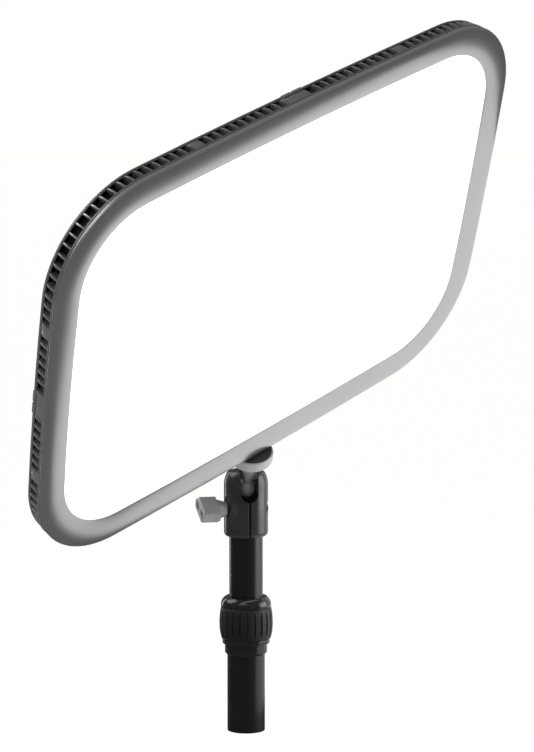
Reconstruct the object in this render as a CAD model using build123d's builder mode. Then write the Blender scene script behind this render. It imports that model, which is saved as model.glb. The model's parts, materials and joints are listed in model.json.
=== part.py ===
from build123d import *
import os
from math import cos, radians, sin

os.makedirs("parts", exist_ok=True)

# LED panel light: an edge-lit panel on a ball head, carried by a twist-lock telescopic mast.
# The origin is the centre of the lower tube's bottom end, +Z runs up the mast, and the stud
# of the ball head leans towards -Y. All sizes are in millimetres, all angles in degrees.

# Panel face
panel_width = 350.0
panel_height = 250.0
side_bow = 3.0
corner_radius = 60.0
window_margin = 17.0
window_corner = 44.0

# Panel depths, measured from the bezel's outer edge; minus is towards the back
crown_height = 1.0
lip_front = -0.4
lip_back = -1.6
bezel_back = -2.2
frame_front = -2.6
rear_rim = -12.1
shell_back = -17.0
cover_back = -28.0
stud_depth = 6.3

# Layers of the light engine
diffuser_thickness = 2.0
film_thickness = 0.3
guide_thickness = 4.0
sheet_thickness = 0.4
plate_thickness = 1.2
guide_width = 318.0
guide_height = 218.0
guide_corner = 44.0

# Side vents
rib_pitch = 6.25
rib_thickness = 1.1
front_rim_thickness = 1.4
rear_rim_thickness = 1.0
vent_depth = 6.5

# Pose of the panel on the ball head
lean = 34.0
spin = 35.7
ball_height = 146.6
ball_to_edge = 31.1

# Ball head
ball_radius = 6.0
neck_radius = 2.45
neck_top_radius = 4.6
shank_radius = 3.175
disc_radius = 13.25
disc_bottom = 22.0
disc_thickness = 8.0
housing_radius = 13.15
housing_bottom = 117.6
housing_top = 157.6
socket_floor = 138.0
mouth_radius = 7.0
notch_width = 10.4
notch_depth = 7.7
slit_width = 1.3
bolt_radius = 2.5
bolt_y = -3.0
bolt_z = 134.5
knob_outer = -28.5
knob_inner = -18.5

# Mast
upper_tube_radius = 10.0
upper_tube_wall = 1.0
lower_tube_radius = 11.25
lower_tube_wall = 0.8
ring_seat_radius = 11.0
lower_tube_top = 60.0
upper_tube_bottom = 48.1
bush_bottom = 44.0
base_ring_bottom = 46.5
base_ring_top = 52.8
collar_bottom = 53.0
grip_bottom = 56.0
grip_top = 75.0
collar_top = 81.2
flute_count = 22

running_gap = 0.05

# Directions of the panel: along its stud, across its face and out of its face
stud_dir = Vector(0, -sin(radians(lean)), cos(radians(lean)))
side_dir = Vector(
    cos(radians(spin)),
    cos(radians(lean)) * sin(radians(spin)),
    sin(radians(lean)) * sin(radians(spin)),
)
face_dir = side_dir.cross(stud_dir)
ball_centre = Vector(0, 0, ball_height)
panel_centre = ball_centre + stud_dir * (ball_to_edge + panel_height / 2) + face_dir * stud_depth
panel = Plane(origin=panel_centre, x_dir=side_dir, z_dir=face_dir)
stud = Plane(origin=ball_centre, x_dir=side_dir, z_dir=stud_dir)
half_width = panel_width / 2
half_height = panel_height / 2


def bowed_outline(height, margin=0.0, corner=None):
    """Face of a bowed, round-cornered rectangle at a height over the panel's edge plane."""
    across = half_width - margin
    upward = half_height - margin
    with BuildSketch(panel.offset(height)) as sketch:
        with BuildLine():
            for sign in (1, -1):
                ThreePointArc(
                    (sign * (side_bow - across), sign * (upward - side_bow)),
                    (0, sign * upward),
                    (sign * (across - side_bow), sign * (upward - side_bow)),
                )
                ThreePointArc(
                    (sign * (across - side_bow), sign * (upward - side_bow)),
                    (sign * across, 0),
                    (sign * (across - side_bow), sign * (side_bow - upward)),
                )
        make_face()
        fillet(sketch.vertices(), radius=corner or corner_radius - margin)
    return sketch.sketch


def rounded_box(width, height, corner, level, centre=(0, 0)):
    """Face of a round-cornered rectangle at a height over the panel's edge plane."""
    with BuildSketch(panel.offset(level)) as sketch:
        with Locations(centre):
            RectangleRounded(width, height, corner)
    return sketch.sketch


# ---------------------------------------------------------------- mast, lower part

with BuildPart() as lower_tube:
    with BuildSketch():
        Circle(lower_tube_radius)
        Circle(lower_tube_radius - lower_tube_wall, mode=Mode.SUBTRACT)
    extrude(amount=base_ring_bottom)
    with BuildSketch(Plane.XY.offset(base_ring_bottom)):
        Circle(ring_seat_radius)
        Circle(lower_tube_radius - lower_tube_wall, mode=Mode.SUBTRACT)
    extrude(amount=lower_tube_top - base_ring_bottom)
lower_tube.part.label = "lower_tube"
export_step(lower_tube.part, "parts/lower_tube.step")

with BuildPart() as end_plug:
    with BuildSketch():
        Circle(lower_tube_radius - lower_tube_wall)
    extrude(amount=5.5)
    with BuildSketch(Plane.XY.offset(5.5)):
        Circle(7.5)
    extrude(amount=-4.0, mode=Mode.SUBTRACT)
    chamfer(end_plug.edges().group_by(Axis.Z)[0], length=0.4)
end_plug.part.label = "end_plug"
export_step(end_plug.part, "parts/end_plug.step")

nose_radius = 12.3
with BuildPart() as lock_base:
    with BuildSketch(Plane.XY.offset(base_ring_bottom)):
        Circle(12.65)
        Circle(ring_seat_radius, mode=Mode.SUBTRACT)
    extrude(amount=base_ring_top - base_ring_bottom)
    outer = lock_base.edges().filter_by(GeomType.CIRCLE).group_by(SortBy.RADIUS)[-1]
    chamfer(outer.sort_by(Axis.Z)[0], length=1.2, length2=0.9)
    with BuildSketch(Plane.XY.offset(base_ring_top)):
        Circle(nose_radius)
        Circle(ring_seat_radius, mode=Mode.SUBTRACT)
    extrude(amount=lower_tube_top - base_ring_top)
lock_base.part.label = "lock_base"
export_step(lock_base.part, "parts/lock_base.step")

collet_top = 76.0
with BuildPart() as collet:
    with BuildSketch(Plane.XZ):
        with BuildLine():
            Polyline(
                (upper_tube_radius + running_gap, lower_tube_top),
                (lower_tube_radius + 0.6, lower_tube_top),
                (lower_tube_radius + 0.6, lower_tube_top + 5.0),
                (upper_tube_radius + 0.7, collet_top),
                (upper_tube_radius + running_gap, collet_top),
                close=True,
            )
        make_face()
    revolve(axis=Axis.Z)
    with BuildSketch(Plane.XY.offset(lower_tube_top + 3.0)):
        with PolarLocations(11.0, 4, start_angle=45):
            Rectangle(6.0, 1.2)
    extrude(amount=collet_top, mode=Mode.SUBTRACT)
collet.part.label = "collet"
export_step(collet.part, "parts/collet.step")

# ---------------------------------------------------------------- twist-lock collar

grip_core_radius = 13.5
with BuildPart() as lock_sleeve:
    with BuildSketch(Plane.XZ):
        with BuildLine():
            Polyline(
                (nose_radius + running_gap, collar_bottom),
                (14.15, collar_bottom),
                (14.15, grip_bottom),
                (grip_core_radius, grip_bottom),
                (grip_core_radius, grip_top),
                (11.6, grip_top),
                (11.6, grip_top + 2.0),
                (10.9, grip_top + 2.0),
                (12.35, 65.0),
                (nose_radius + running_gap, 61.0),
                close=True,
            )
        make_face()
    revolve(axis=Axis.Z)
    lower_rim = lock_sleeve.edges().filter_by(GeomType.CIRCLE).group_by(SortBy.RADIUS)[-1]
    fillet(lower_rim, radius=0.6)
lock_sleeve.part.label = "lock_sleeve"
export_step(lock_sleeve.part, "parts/lock_sleeve.step")

grip_middle = (grip_bottom + grip_top) / 2
with BuildPart() as grip_sleeve:
    with BuildSketch(Plane.XZ):
        with BuildLine():
            Line((grip_core_radius, grip_bottom), (14.75, grip_bottom))
            ThreePointArc((14.75, grip_bottom), (16.1, grip_middle + 0.8), (15.0, grip_top))
            Line((15.0, grip_top), (grip_core_radius, grip_top))
            Line((grip_core_radius, grip_top), (grip_core_radius, grip_bottom))
        make_face()
    revolve(axis=Axis.Z)
    with BuildSketch(Plane.XY.offset(grip_bottom + 1.2)):
        with PolarLocations(16.6, flute_count):
            Circle(1.15)
    extrude(amount=grip_top - grip_bottom - 2.4, mode=Mode.SUBTRACT)
grip_sleeve.part.label = "grip_sleeve"
export_step(grip_sleeve.part, "parts/grip_sleeve.step")

with BuildPart() as collar_cap:
    with BuildSketch(Plane.XZ):
        with BuildLine():
            Line((11.6, grip_top), (14.9, grip_top))
            Line((14.9, grip_top), (15.0, grip_top + 1.6))
            ThreePointArc((15.0, grip_top + 1.6), (14.3, grip_top + 4.2), (12.4, collar_top))
            Line((12.4, collar_top), (10.35, collar_top))
            Line((10.35, collar_top), (10.35, grip_top + 2.2))
            Line((10.35, grip_top + 2.2), (11.6, grip_top + 2.2))
            Line((11.6, grip_top + 2.2), (11.6, grip_top))
        make_face()
    revolve(axis=Axis.Z)
collar_cap.part.label = "collar_cap"
export_step(collar_cap.part, "parts/collar_cap.step")

# ---------------------------------------------------------------- mast, upper part

upper_tube_top = 128.0
with BuildPart() as upper_tube:
    with BuildSketch(Plane.XY.offset(upper_tube_bottom)):
        Circle(upper_tube_radius)
        Circle(upper_tube_radius - upper_tube_wall, mode=Mode.SUBTRACT)
    extrude(amount=upper_tube_top - upper_tube_bottom)
upper_tube.part.label = "upper_tube"
export_step(upper_tube.part, "parts/upper_tube.step")

with BuildPart() as guide_bush:
    with BuildSketch(Plane.XY.offset(bush_bottom)):
        Circle(lower_tube_radius - lower_tube_wall - running_gap)
    extrude(amount=4.0)
    with BuildSketch(Plane.XY.offset(bush_bottom + 4.0)):
        Circle(upper_tube_radius - upper_tube_wall - running_gap)
    extrude(amount=9.0)
    with BuildSketch(Plane.XY.offset(bush_bottom)):
        Circle(6.5)
    extrude(amount=13.0, mode=Mode.SUBTRACT)
guide_bush.part.label = "guide_bush"
export_step(guide_bush.part, "parts/guide_bush.step")

# ---------------------------------------------------------------- ball head

notch_floor = ball_height - notch_depth
with BuildSketch(Plane.XZ) as notch_profile:
    with Locations((0, notch_floor + notch_width / 2)):
        Circle(notch_width / 2)
        Rectangle(notch_width, 30.0, align=(Align.CENTER, Align.MIN))

with BuildPart() as ball_housing:
    with BuildSketch(Plane.XZ) as housing_profile:
        with BuildLine():
            Polyline(
                (upper_tube_radius, housing_bottom),
                (housing_radius, housing_bottom),
                (housing_radius, housing_top),
                (mouth_radius, housing_top),
                (mouth_radius, socket_floor),
                (0, socket_floor),
                (0, upper_tube_top),
                (upper_tube_radius, upper_tube_top),
                close=True,
            )
        make_face()
        outer = housing_profile.vertices().group_by(Axis.X)[-1]
        fillet(outer.sort_by(Axis.Y)[0], radius=2.8)
        outer = housing_profile.vertices().group_by(Axis.X)[-1]
        fillet(outer.sort_by(Axis.Y)[-1], radius=5.9)
    revolve(axis=Axis.Z)
    extrude(to_extrude=notch_profile.sketch, amount=20.0, mode=Mode.SUBTRACT)
    with BuildSketch(Plane.XZ):
        with Locations((0, housing_bottom)):
            Rectangle(slit_width, notch_floor - housing_bottom + 1.0, align=(Align.CENTER, Align.MIN))
    extrude(amount=20.0, mode=Mode.SUBTRACT)
    with BuildSketch(Plane.YZ.offset(-15.0)):
        with Locations((bolt_y, bolt_z)):
            Circle(bolt_radius + running_gap)
    extrude(amount=30.0, mode=Mode.SUBTRACT)
    with BuildSketch(Plane.YZ.offset(9.6)):
        with Locations((bolt_y, bolt_z)):
            Circle(4.0)
    extrude(amount=6.0, mode=Mode.SUBTRACT)
    with BuildSketch(Plane.YZ.offset(-11.6)):
        with Locations((bolt_y, bolt_z)):
            Circle(4.8)
    extrude(amount=-6.0, mode=Mode.SUBTRACT)
ball_housing.part.label = "ball_housing"
export_step(ball_housing.part, "parts/ball_housing.step")

with BuildPart() as ball_liner:
    with BuildSketch(Plane.XY.offset(socket_floor)):
        Circle(mouth_radius)
    extrude(amount=ball_height + 4.0 - socket_floor)
    with Locations((0, 0, ball_height)):
        Sphere(ball_radius + running_gap, mode=Mode.SUBTRACT)
    extrude(to_extrude=notch_profile.sketch, amount=20.0, mode=Mode.SUBTRACT)
ball_liner.part.label = "ball_liner"
export_step(ball_liner.part, "parts/ball_liner.step")

shank_length = 10.0
with BuildPart(stud) as ball_stud:
    Sphere(ball_radius)
    with Locations((0, 0, 4.0)):
        Cone(neck_radius, neck_top_radius, disc_bottom - 4.0,
             align=(Align.CENTER, Align.CENTER, Align.MIN))
    with Locations((0, 0, disc_bottom)):
        Cylinder(shank_radius, ball_to_edge - disc_bottom + shank_length,
                 align=(Align.CENTER, Align.CENTER, Align.MIN))
ball_stud.part.label = "ball_stud"
export_step(ball_stud.part, "parts/ball_stud.step")

with BuildPart() as lock_disc:
    with BuildSketch(stud.offset(disc_bottom + running_gap)):
        Circle(disc_radius)
        Circle(shank_radius + running_gap, mode=Mode.SUBTRACT)
    extrude(amount=disc_thickness)
    rims = lock_disc.edges().filter_by(GeomType.CIRCLE).group_by(SortBy.RADIUS)[-1]
    rims = rims.sort_by(Axis(ball_centre, stud_dir))
    fillet(rims[0], radius=3.6)
    fillet(rims[-1], radius=0.8)
lock_disc.part.label = "lock_disc"
export_step(lock_disc.part, "parts/lock_disc.step")

with BuildPart() as disc_pad:
    with BuildSketch(stud.offset(disc_bottom + running_gap + disc_thickness)):
        Circle(12.0)
        Circle(shank_radius + running_gap, mode=Mode.SUBTRACT)
    extrude(amount=0.9)
disc_pad.part.label = "disc_pad"
export_step(disc_pad.part, "parts/disc_pad.step")

# ---------------------------------------------------------------- clamp of the ball head

with BuildPart() as clamp_bolt:
    with BuildSketch(Plane.YZ.offset(knob_outer + 5.0)):
        with Locations((bolt_y, bolt_z)):
            Circle(bolt_radius)
    extrude(amount=12.4 - knob_outer - 5.0)
clamp_bolt.part.label = "clamp_bolt"
export_step(clamp_bolt.part, "parts/clamp_bolt.step")

with BuildPart() as clamp_nut:
    with BuildSketch(Plane.YZ.offset(9.6)):
        with Locations((bolt_y, bolt_z)):
            RegularPolygon(3.95, 6)
            Circle(bolt_radius + running_gap, mode=Mode.SUBTRACT)
    extrude(amount=2.4)
clamp_nut.part.label = "clamp_nut"
export_step(clamp_nut.part, "parts/clamp_nut.step")

with BuildPart() as clamp_washer:
    with BuildSketch(Plane.YZ.offset(-12.4)):
        with Locations((bolt_y, bolt_z)):
            Circle(4.4)
            Circle(bolt_radius + running_gap, mode=Mode.SUBTRACT)
    extrude(amount=0.8)
clamp_washer.part.label = "clamp_washer"
export_step(clamp_washer.part, "parts/clamp_washer.step")

knob_end = Plane(origin=(knob_outer, bolt_y, bolt_z), x_dir=(0, 1, 0), z_dir=(1, 0, 0))
with BuildPart() as wing_knob:
    with BuildSketch(knob_end) as wing_profile:
        with BuildLine():
            Polyline(
                (15.0, 4.4),
                (3.5, 7.2),
                (-16.5, 0.6),
                (-15.0, -4.4),
                (-3.5, -7.2),
                (16.5, -0.6),
                close=True,
            )
        make_face()
        fillet(wing_profile.vertices(), radius=1.6)
    extrude(amount=knob_inner - knob_outer)
    fillet(wing_knob.faces().sort_by(Axis.X)[0].edges(), radius=1.0)
    with BuildSketch(knob_end):
        with Locations(Location((7.0, 1.6), 14), Location((-7.0, -1.6), 14)):
            SlotOverall(10.0, 4.6)
    extrude(amount=1.4, mode=Mode.SUBTRACT)
    with BuildSketch(Plane.YZ.offset(knob_inner)):
        with Locations((bolt_y, bolt_z)):
            Circle(6.0)
    with BuildSketch(Plane.YZ.offset(-12.5)):
        with Locations((bolt_y, bolt_z)):
            Circle(4.2)
    loft()
    with BuildSketch(Plane.YZ.offset(knob_outer + 5.0)):
        with Locations((bolt_y, bolt_z)):
            Circle(bolt_radius)
    extrude(amount=20.0, mode=Mode.SUBTRACT)
wing_knob.part.label = "wing_knob"
export_step(wing_knob.part, "parts/wing_knob.step")

# ---------------------------------------------------------------- panel face

with BuildPart() as front_bezel:
    extrude(to_extrude=bowed_outline(bezel_back), amount=crown_height - bezel_back)
    rims = front_bezel.faces().sort_by(Axis(panel_centre, face_dir))[-1].edges()
    fillet(rims, radius=2.4)
    extrude(
        to_extrude=bowed_outline(bezel_back, margin=4.0),
        amount=lip_back - bezel_back,
        mode=Mode.SUBTRACT,
    )
    extrude(
        to_extrude=bowed_outline(bezel_back, margin=window_margin, corner=window_corner),
        amount=6.0,
        mode=Mode.SUBTRACT,
    )
    loft(
        sections=[
            bowed_outline(lip_front, margin=window_margin, corner=window_corner),
            bowed_outline(crown_height, margin=window_margin - 10.0, corner=window_corner + 9.0),
        ],
        ruled=True,
        mode=Mode.SUBTRACT,
    )
front_bezel.part.label = "front_bezel"
export_step(front_bezel.part, "parts/front_bezel.step")

level = lip_back
with BuildPart() as front_diffuser:
    extrude(to_extrude=bowed_outline(level, margin=11.0), amount=-diffuser_thickness)
front_diffuser.part.label = "front_diffuser"
export_step(front_diffuser.part, "parts/front_diffuser.step")

level -= diffuser_thickness
with BuildPart() as prism_film:
    extrude(to_extrude=bowed_outline(level, margin=12.0), amount=-film_thickness)
prism_film.part.label = "prism_film"
export_step(prism_film.part, "parts/prism_film.step")

level -= film_thickness
guide_front = level
with BuildPart() as light_guide:
    extrude(
        to_extrude=rounded_box(guide_width, guide_height, guide_corner, level),
        amount=-guide_thickness,
    )
light_guide.part.label = "light_guide"
export_step(light_guide.part, "parts/light_guide.step")

level -= guide_thickness
with BuildPart() as reflector_sheet:
    extrude(
        to_extrude=rounded_box(guide_width, guide_height, guide_corner, level),
        amount=-sheet_thickness,
    )
reflector_sheet.part.label = "reflector_sheet"
export_step(reflector_sheet.part, "parts/reflector_sheet.step")

level -= sheet_thickness
plate_front = level
plate_back = level - plate_thickness
cable_slot = (0.0, 8.0)
rear_screw_spots = [(x, y) for x in (-120.0, -42.0, 42.0, 120.0) for y in (-84.0, 84.0)]
rear_screw_radius = 1.5
with BuildPart(panel) as heat_plate:
    extrude(to_extrude=bowed_outline(level, margin=12.5), amount=-plate_thickness)
    extrude(
        to_extrude=rounded_box(16.0, 6.0, 2.0, level, cable_slot),
        amount=-plate_thickness,
        mode=Mode.SUBTRACT,
    )
    with BuildSketch(panel.offset(level)):
        with Locations(*rear_screw_spots):
            Circle(rear_screw_radius)
    extrude(amount=-plate_thickness, mode=Mode.SUBTRACT)
heat_plate.part.label = "heat_plate"
export_step(heat_plate.part, "parts/heat_plate.step")

# ---------------------------------------------------------------- edge lighting

chip_pitch = 6.0
chip_count = 36
strip_length = 226.0
chip_height = 3.0
chip_depth = 0.8
strip_y = guide_height / 2 + 0.3 + chip_depth
chip_level = guide_front - guide_thickness / 2

with BuildPart(panel) as led_strips:
    for side in (1, -1):
        with Locations((0, side * (strip_y + 0.5), chip_level)):
            Box(strip_length, 1.0, guide_thickness)
led_strips.part.label = "led_strips"
export_step(led_strips.part, "parts/led_strips.step")

with BuildPart(panel) as led_chips:
    for side in (1, -1):
        with Locations((0, side * (strip_y - chip_depth / 2), chip_level)):
            with GridLocations(chip_pitch, 0, chip_count, 1):
                Box(3.0, chip_depth, chip_height)
led_chips.part.label = "led_chips"
export_step(led_chips.part, "parts/led_chips.step")

# ---------------------------------------------------------------- vented side frame

edge_wire = bowed_outline(0).wire()
rib_count = 4 * round(edge_wire.length / rib_pitch / 4)
mount_half = 16.0
block_half = 8.0
blank_top = 79.0
blank_side = 48.5


def edge_plane(share):
    """Plane across the panel's edge: local X points out of the panel and local Y to its back."""
    point = edge_wire.position_at(share)
    along = edge_wire.tangent_at(share)
    across = along.cross(face_dir)
    if across.dot(point - panel_centre) < 0:
        along = along * -1
        across = across * -1
    return Plane(origin=point, x_dir=across, z_dir=along)


def is_near(plane, spots, reach):
    """Whether the plane's origin is within reach of one of the panel points in spots."""
    place = panel.to_local_coords(plane.origin)
    return any((place - Vector(*spot, 0)).length < reach for spot in spots)


mid_edges = [(0, half_height), (-half_width, 0), (half_width, 0)]
blank_spots = [(side * blank_top, half_height - 0.6) for side in (1, -1)]
blank_spots += [
    (side * (half_width - 0.5), end * blank_side) for side in (1, -1) for end in (1, -1)
]
mount_spot = [(0, -half_height)]
rib_planes = [edge_plane((index + 0.5) / rib_count) for index in range(rib_count)]
rib_planes = [
    plane
    for plane in rib_planes
    if not is_near(plane, mid_edges, block_half) and not is_near(plane, mount_spot, mount_half)
]


def nearest_plane(spot):
    """The gap plane between two ribs that lies closest to a point on the panel's edge."""
    planes = [edge_plane(index / rib_count) for index in range(rib_count)]
    return min(
        planes,
        key=lambda plane: (panel.to_local_coords(plane.origin) - Vector(*spot, 0)).length,
    )


blank_planes = [nearest_plane(spot) for spot in blank_spots]
block_planes = [nearest_plane(spot) for spot in mid_edges]
ramp_depth = 5.0


def rib_sketch(planes, half_thickness):
    """Side profile of a rib: upright at the front, curving inwards to the rear rim."""
    with BuildSketch(*[plane.offset(-half_thickness) for plane in planes]) as sketch:
        with BuildLine():
            Polyline((-0.3, 3.6), (-0.3, 7.0), (-0.8, 9.2), (-1.7, 10.6), (-3.0, 11.6))
            Polyline((-3.0, 11.6), (-vent_depth - 2.0, 11.6), (-vent_depth - 2.0, 3.6), (-0.3, 3.6))
        make_face()
    return sketch.sketch


lug_sketch_planes = [plane.offset(start) for plane in block_planes for start in (0.5, -7.5)]
screw_sink_planes = [
    Plane(origin=plane.origin - face_dir * 5.6, x_dir=plane.z_dir, z_dir=plane.x_dir)
    for plane in block_planes
]

with BuildPart() as vent_frame:
    extrude(to_extrude=bowed_outline(frame_front, margin=0.2), amount=-front_rim_thickness)
    extrude(to_extrude=bowed_outline(frame_front, margin=2.0), amount=bezel_back - frame_front)
    ramp_front = frame_front - front_rim_thickness
    loft(
        sections=[
            bowed_outline(ramp_front, margin=1.4),
            bowed_outline(ramp_front - 3.6, margin=ramp_depth),
        ],
        ruled=True,
    )
    extrude(
        to_extrude=bowed_outline(rear_rim + rear_rim_thickness, margin=1.4),
        amount=-rear_rim_thickness,
    )
    extrude(to_extrude=rib_sketch(rib_planes, rib_thickness / 2), amount=rib_thickness)
    extrude(to_extrude=rib_sketch(blank_planes, rib_pitch / 2), amount=rib_pitch)
    extrude(to_extrude=rib_sketch(block_planes, block_half), amount=2 * block_half)
    with BuildSketch(*lug_sketch_planes):
        with Locations((-2.4, 11.1)):
            Rectangle(3.4, 2.0)
    extrude(amount=7.0)
    with BuildSketch(*screw_sink_planes):
        Circle(2.1)
    extrude(amount=-2.4, mode=Mode.SUBTRACT)
    with BuildSketch(*screw_sink_planes):
        Circle(1.0)
    extrude(amount=-5.9, mode=Mode.SUBTRACT)
    extrude(
        to_extrude=bowed_outline(rear_rim - 1.0, margin=vent_depth),
        amount=14.0,
        mode=Mode.SUBTRACT,
    )
    with BuildSketch(panel.offset(bezel_back + 1.0)):
        with Locations((0, -half_height)):
            Rectangle(2 * mount_half, 30.0)
    extrude(amount=rear_rim + rear_rim_thickness - bezel_back - 1.0, mode=Mode.SUBTRACT)
vent_frame.part.label = "vent_frame"
export_step(vent_frame.part, "parts/vent_frame.step")

with BuildPart() as edge_screws:
    with BuildSketch(*[plane.offset(-2.0) for plane in screw_sink_planes]):
        Circle(1.9)
    extrude(amount=1.2)
    with BuildSketch(*[plane.offset(-5.8) for plane in screw_sink_planes]):
        Circle(1.0)
    extrude(amount=3.8)
    with BuildSketch(*[plane.offset(-1.3) for plane in screw_sink_planes]):
        RegularPolygon(0.95, 6)
    extrude(amount=1.0, mode=Mode.SUBTRACT)
edge_screws.part.label = "edge_screws"
export_step(edge_screws.part, "parts/edge_screws.step")

# ---------------------------------------------------------------- stud socket of the panel

socket_depth = 10.4
insert_radius = 3.85
block_depth = 10.8
with BuildPart() as mount_block:
    with BuildSketch(panel.offset(bezel_back)):
        with Locations((0, -half_height)):
            Rectangle(2 * mount_half - 0.2, block_depth, align=(Align.CENTER, Align.MIN))
    extrude(amount=rear_rim + rear_rim_thickness - bezel_back)
    with BuildSketch(stud.offset(ball_to_edge)):
        Circle(insert_radius)
    extrude(amount=socket_depth, mode=Mode.SUBTRACT)
mount_block.part.label = "mount_block"
export_step(mount_block.part, "parts/mount_block.step")

with BuildPart() as threaded_insert:
    with BuildSketch(stud.offset(ball_to_edge)):
        Circle(insert_radius)
        Circle(shank_radius + running_gap, mode=Mode.SUBTRACT)
    extrude(amount=socket_depth)
threaded_insert.part.label = "threaded_insert"
export_step(threaded_insert.part, "parts/threaded_insert.step")

# ---------------------------------------------------------------- back of the panel

shell_wall = 2.0
cover_width = 170.0
cover_height = 96.0
cover_corner = 22.0
cover_centre = (0.0, -30.0)
cover_wall = 2.0
cover_screw_spots = [(x, cover_centre[1] + y) for x in (-74.0, 74.0) for y in (-37.0, 37.0)]
cover_screw_radius = 1.25

with BuildPart() as rear_shell:
    loft(
        sections=[
            bowed_outline(rear_rim, margin=1.4),
            bowed_outline(shell_back, margin=16.0),
        ],
        ruled=True,
    )
    loft(
        sections=[
            bowed_outline(rear_rim, margin=3.4),
            bowed_outline(shell_back + shell_wall, margin=17.0),
        ],
        ruled=True,
        mode=Mode.SUBTRACT,
    )
    with BuildSketch(panel.offset(plate_back)):
        with Locations(*rear_screw_spots):
            Circle(3.5)
    extrude(amount=shell_back + 1.0 - plate_back)
    with BuildSketch(panel.offset(plate_back)):
        with Locations(*rear_screw_spots):
            Circle(rear_screw_radius + running_gap)
    extrude(amount=shell_back - plate_back, mode=Mode.SUBTRACT)
    with BuildSketch(panel.offset(shell_back)):
        with Locations(*cover_screw_spots):
            Circle(cover_screw_radius)
    extrude(amount=shell_wall, mode=Mode.SUBTRACT)
    extrude(
        to_extrude=rounded_box(16.0, 6.0, 2.0, shell_back, cable_slot),
        amount=shell_wall,
        mode=Mode.SUBTRACT,
    )
rear_shell.part.label = "rear_shell"
export_step(rear_shell.part, "parts/rear_shell.step")

with BuildPart() as rear_screws:
    with BuildSketch(panel.offset(shell_back)):
        with Locations(*rear_screw_spots):
            Circle(2.8)
    extrude(amount=-1.5)
    with BuildSketch(panel.offset(shell_back - 1.5)):
        with Locations(*rear_screw_spots):
            RegularPolygon(1.3, 6)
    extrude(amount=0.9, mode=Mode.SUBTRACT)
    with BuildSketch(panel.offset(shell_back)):
        with Locations(*rear_screw_spots):
            Circle(rear_screw_radius)
    extrude(amount=plate_front - 0.1 - shell_back)
rear_screws.part.label = "rear_screws"
export_step(rear_screws.part, "parts/rear_screws.step")

switch_spot = (58.0, -30.0)
button_spot = (58.0, -56.0)
button_radius = 2.5
inlet_x = -44.0
inlet_level = -21.6
cover_bottom = cover_centre[1] - cover_height / 2
inlet_axis = Plane(
    origin=panel.from_local_coords(Vector(inlet_x, cover_bottom, inlet_level)),
    x_dir=side_dir,
    z_dir=-stud_dir,
)

with BuildPart() as electronics_cover:
    extrude(
        to_extrude=rounded_box(cover_width, cover_height, cover_corner, shell_back, cover_centre),
        amount=cover_back - shell_back,
    )
    back_rim = electronics_cover.faces().sort_by(Axis(panel_centre, face_dir))[0].edges()
    fillet(back_rim, radius=3.0)
    extrude(
        to_extrude=rounded_box(
            cover_width - 2 * cover_wall,
            cover_height - 2 * cover_wall,
            cover_corner - cover_wall,
            shell_back,
            cover_centre,
        ),
        amount=cover_back + cover_wall - shell_back,
        mode=Mode.SUBTRACT,
    )
    with BuildSketch(panel.offset(shell_back)):
        with Locations(*cover_screw_spots):
            Circle(3.5)
    extrude(amount=cover_back + cover_wall - shell_back)
    with BuildSketch(panel.offset(shell_back)):
        with Locations(*cover_screw_spots):
            Circle(cover_screw_radius + running_gap)
    extrude(amount=cover_back - shell_back, mode=Mode.SUBTRACT)
    extrude(
        to_extrude=rounded_box(13.0, 19.0, 1.0, cover_back, switch_spot),
        amount=cover_wall,
        mode=Mode.SUBTRACT,
    )
    with BuildSketch(panel.offset(cover_back)):
        with Locations(button_spot):
            Circle(button_radius + running_gap)
    extrude(amount=cover_wall, mode=Mode.SUBTRACT)
    with BuildSketch(inlet_axis):
        Circle(4.0)
    extrude(amount=-cover_wall, mode=Mode.SUBTRACT)
electronics_cover.part.label = "electronics_cover"
export_step(electronics_cover.part, "parts/electronics_cover.step")

with BuildPart() as cover_screws:
    with BuildSketch(panel.offset(cover_back)):
        with Locations(*cover_screw_spots):
            Circle(2.4)
    extrude(amount=-1.2)
    with BuildSketch(panel.offset(cover_back - 1.2)):
        with Locations(*cover_screw_spots):
            RegularPolygon(1.1, 6)
    extrude(amount=0.8, mode=Mode.SUBTRACT)
    with BuildSketch(panel.offset(cover_back)):
        with Locations(*cover_screw_spots):
            Circle(cover_screw_radius)
    extrude(amount=shell_back + shell_wall - 0.2 - cover_back)
cover_screws.part.label = "cover_screws"
export_step(cover_screws.part, "parts/cover_screws.step")

# ---------------------------------------------------------------- electronics

board_front = -20.0
board_thickness = 1.6
board_back = board_front - board_thickness
board_centre = (-12.0, -30.0)
board_hole_spots = [
    (board_centre[0] + x, board_centre[1] + y) for x in (-51.0, 51.0) for y in (-26.0, 26.0)
]
board_hole_radius = 1.25

with BuildPart() as driver_board:
    extrude(
        to_extrude=rounded_box(110.0, 60.0, 2.0, board_front, board_centre),
        amount=-board_thickness,
    )
    with BuildSketch(panel.offset(board_front)):
        with Locations(*board_hole_spots):
            Circle(board_hole_radius)
    extrude(amount=-board_thickness, mode=Mode.SUBTRACT)
driver_board.part.label = "driver_board"
export_step(driver_board.part, "parts/driver_board.step")

with BuildPart() as board_standoffs:
    with BuildSketch(panel.offset(shell_back)):
        with Locations(*board_hole_spots):
            RegularPolygon(2.8, 6)
            Circle(board_hole_radius, mode=Mode.SUBTRACT)
    extrude(amount=board_front - shell_back)
board_standoffs.part.label = "board_standoffs"
export_step(board_standoffs.part, "parts/board_standoffs.step")

with BuildPart() as board_screws:
    with BuildSketch(panel.offset(board_back)):
        with Locations(*board_hole_spots):
            Circle(2.3)
    extrude(amount=-1.4)
    with BuildSketch(panel.offset(board_back)):
        with Locations(*board_hole_spots):
            Circle(board_hole_radius)
    extrude(amount=4.2)
board_screws.part.label = "board_screws"
export_step(board_screws.part, "parts/board_screws.step")

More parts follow.
